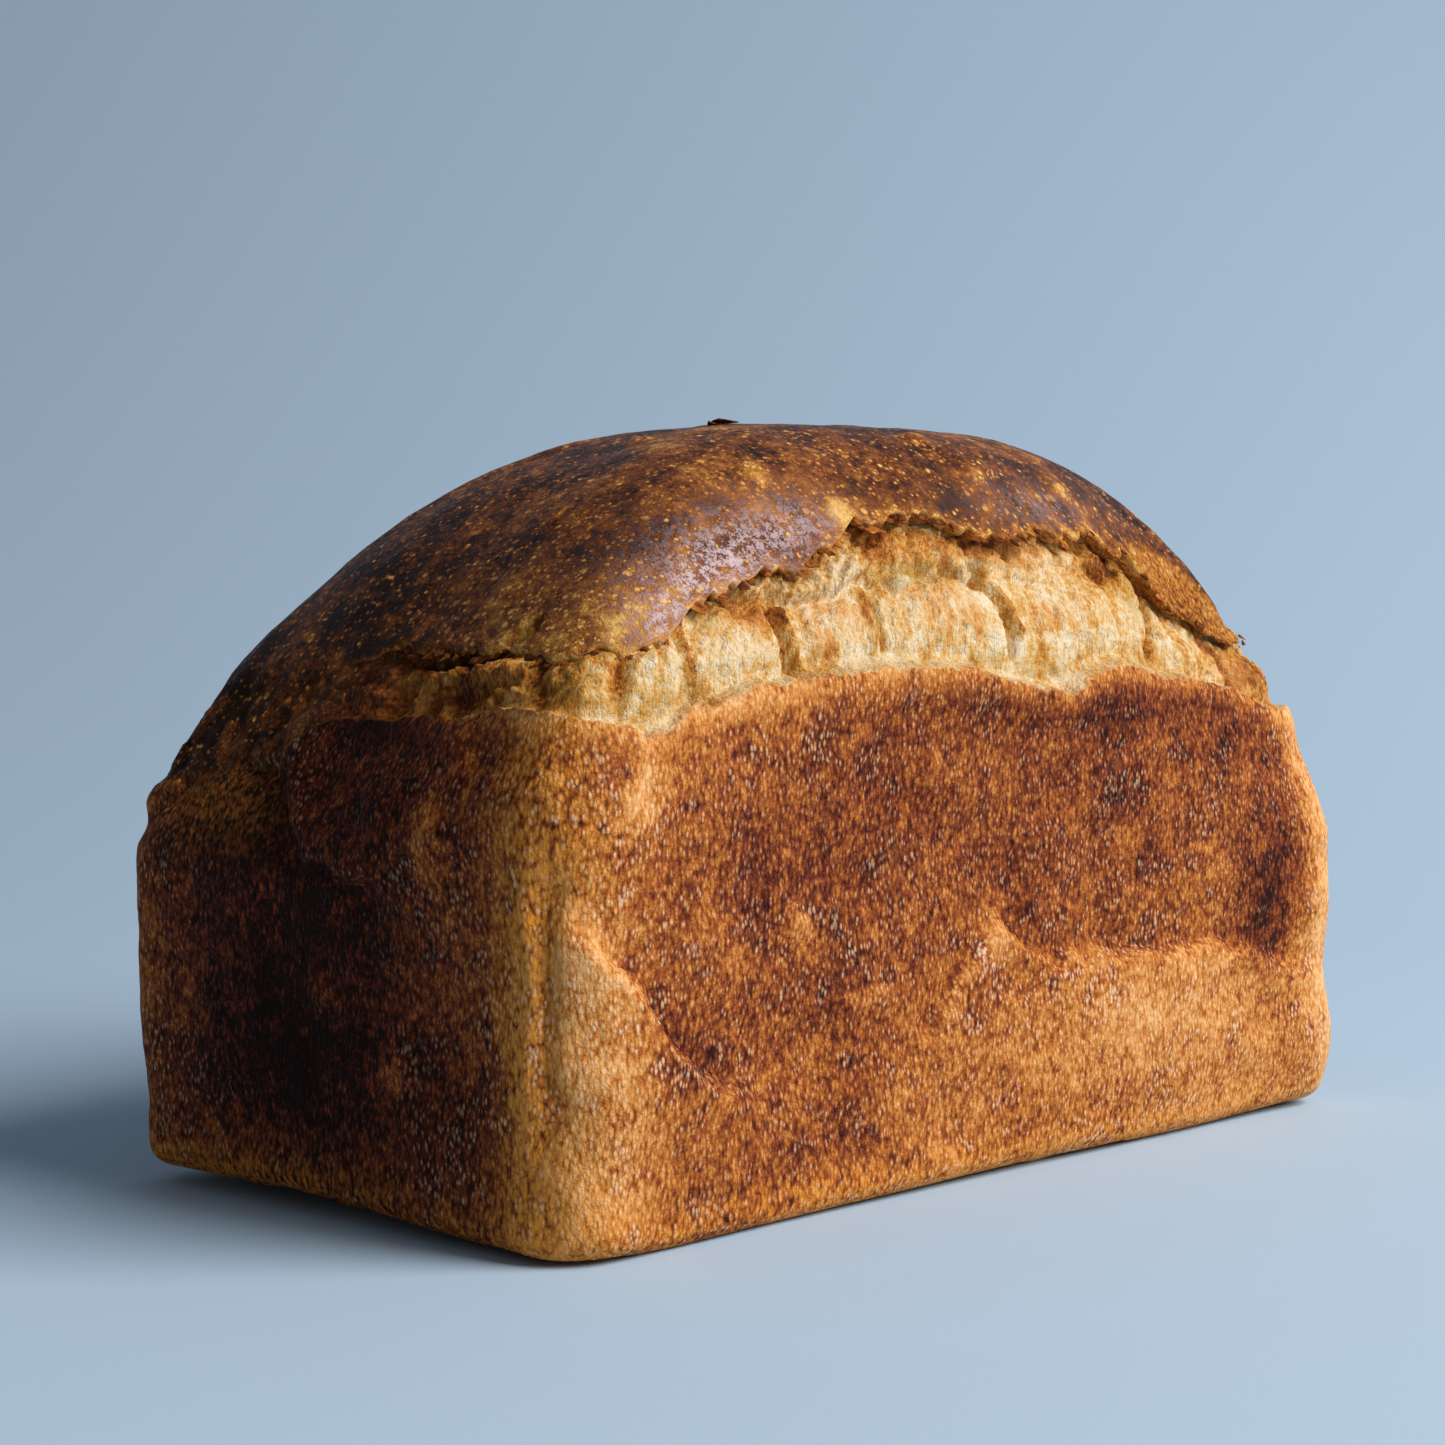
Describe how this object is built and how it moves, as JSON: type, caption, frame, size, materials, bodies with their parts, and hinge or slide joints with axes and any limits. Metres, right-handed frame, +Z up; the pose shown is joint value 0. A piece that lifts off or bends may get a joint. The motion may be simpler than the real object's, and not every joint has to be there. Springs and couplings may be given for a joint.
{
  "type": "sourdough tin loaf",
  "caption": "Uncut tin-baked sourdough loaf with a dark glossy domed top, golden brown tin-baked walls and a long torn burst of pale crumb along the front",
  "frame": {"origin": "middle of the base, on the surface that the loaf stands on", "axes": "+X along the loaf's length, towards the end that the picture doesn't show; -Y out of the front wall, the side with the long tear; +Z up"},
  "size_m": [0.2218, 0.1179, 0.1365],
  "materials": {
    "crust": "baked bread crust, dark brown and glossy on the dome, golden brown and grainy on the walls, pale and fibrous in the tear"
  },
  "bodies": {
    "root": {"loaf": "crust"}
  },
  "joints": []
}
